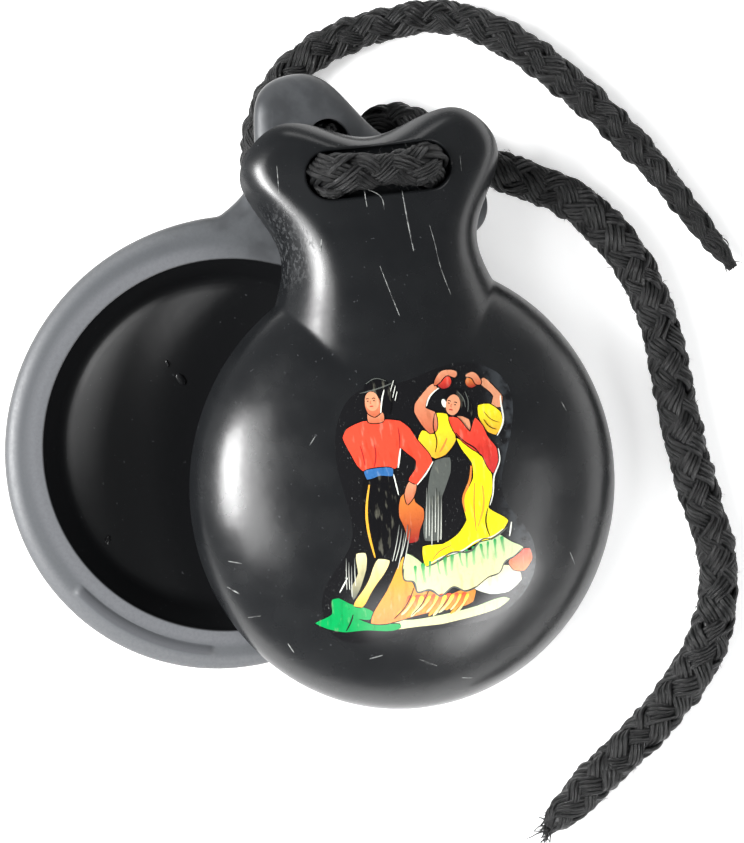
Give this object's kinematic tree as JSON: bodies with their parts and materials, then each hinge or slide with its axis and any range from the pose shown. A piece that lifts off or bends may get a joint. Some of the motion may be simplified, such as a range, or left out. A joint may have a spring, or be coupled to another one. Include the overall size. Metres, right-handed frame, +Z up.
{
  "type": "castanets",
  "caption": "Pair of domed hollow shells hinged at their ears by a braided cord threaded through two holes, with loose cord tails and a printed transfer.",
  "frame": {"origin": "bottom centre of the box around both shells, without the loose cord tails", "axes": "+Z up from the table, through the thickness of the pair; the ears point towards +Y"},
  "size_m": [0.1016, 0.1194, 0.0251],
  "materials": {
    "shell_plastic": "worn gloss black",
    "transfer_print": "printed colours",
    "cord_braid": "black braid"
  },
  "bodies": {
    "rear": {"rear_shell": "shell_plastic", "cord_tail_upper": "cord_braid", "cord_tail_lower": "cord_braid"},
    "link": {"cord_link": "cord_braid"},
    "front": {"front_shell": "shell_plastic", "transfer_film": "transfer_print", "cord_bridge": "cord_braid"}
  },
  "joints": [
    {"name": "swing", "type": "hinge", "parent": "rear", "child": "link", "pos_m": [0.00933, 0.02885, 0.0131], "axis": [0.221, -0.068, 0.9729], "range_deg": [-33.9, 9]},
    {"name": "clap", "type": "hinge", "parent": "link", "child": "front", "pos_m": [0.0067, 0.02944, 0.0142], "axis": [-0.9682, -0.1354, 0.2105], "range_deg": [0, 16]}
  ]
}
